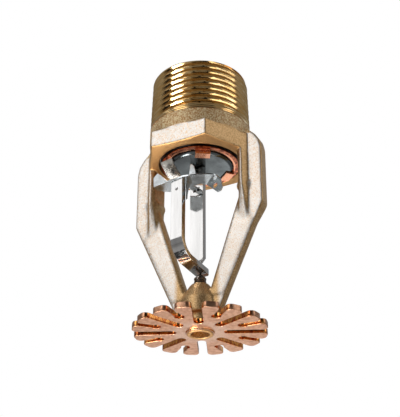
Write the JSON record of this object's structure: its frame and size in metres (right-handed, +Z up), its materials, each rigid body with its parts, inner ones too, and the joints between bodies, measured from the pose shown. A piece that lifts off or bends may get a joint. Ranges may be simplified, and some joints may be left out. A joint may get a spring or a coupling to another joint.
{
  "type": "fire sprinkler head",
  "caption": "Pendent fire sprinkler head with threaded nipple, two frame arms, hook and strut trigger with fusible link, sealing cap and slotted deflector.",
  "frame": {"origin": "centre of the inlet face, at the top of the pipe thread", "axes": "+Z up the supply pipe, out of the inlet; the two frame arms stand on the X axis; a wrench flat faces -Y"},
  "size_m": [0.0454, 0.0412, 0.0916],
  "materials": {
    "cast_bronze": "as-cast arms and neck with a polished, machined thread and waterway",
    "deflector_bronze": "stamped sheet, tumbled satin",
    "screw_steel": "dark, machined",
    "nickel_strip": "bright nickel-plated strip",
    "solder": "dull fusible solder",
    "cap_plate": "bright plated",
    "spring_steel": "brushed",
    "seal_film": "smooth film",
    "copper": "soft copper, lightly polished"
  },
  "bodies": {
    "frame_body": {"frame": "cast_bronze", "deflector": "deflector_bronze"},
    "screw_body": {"compression_screw": "screw_steel"},
    "hook_body": {"hook": "nickel_strip", "link_plate_hook_side": "nickel_strip"},
    "strut_body": {"strut": "nickel_strip", "link_plate_strut_side": "nickel_strip", "solder_film": "solder"},
    "cap_body": {"sealing_cap": "cap_plate", "disc_spring": "spring_steel", "seat_gasket": "seal_film", "retainer_clip": "copper", "ejection_spring": "spring_steel"}
  },
  "joints": [
    {"name": "compression_screw_turn", "type": "hinge", "parent": "frame_body", "child": "screw_body", "pos_m": [0, 0, -0.08], "axis": [0, 0, 1], "range_deg": [0, 360]},
    {"name": "hook_release", "type": "hinge", "parent": "frame_body", "child": "hook_body", "pos_m": [0, 0, -0.0716], "axis": [0.9763, -0.2164, 0], "range_deg": [0, 45]},
    {"name": "strut_swing", "type": "hinge", "parent": "frame_body", "child": "strut_body", "pos_m": [-0.00026, -0.00117, -0.0685], "axis": [-0.9763, 0.2164, 0], "range_deg": [0, 60]},
    {"name": "cap_release", "type": "slide", "parent": "frame_body", "child": "cap_body", "axis": [0, 0, -1], "range_m": [0, 0.0026]}
  ],
  "couplings": [
    {"joint": "cap_release", "follows": "strut_swing", "m_per_rad": 0.0024}
  ]
}
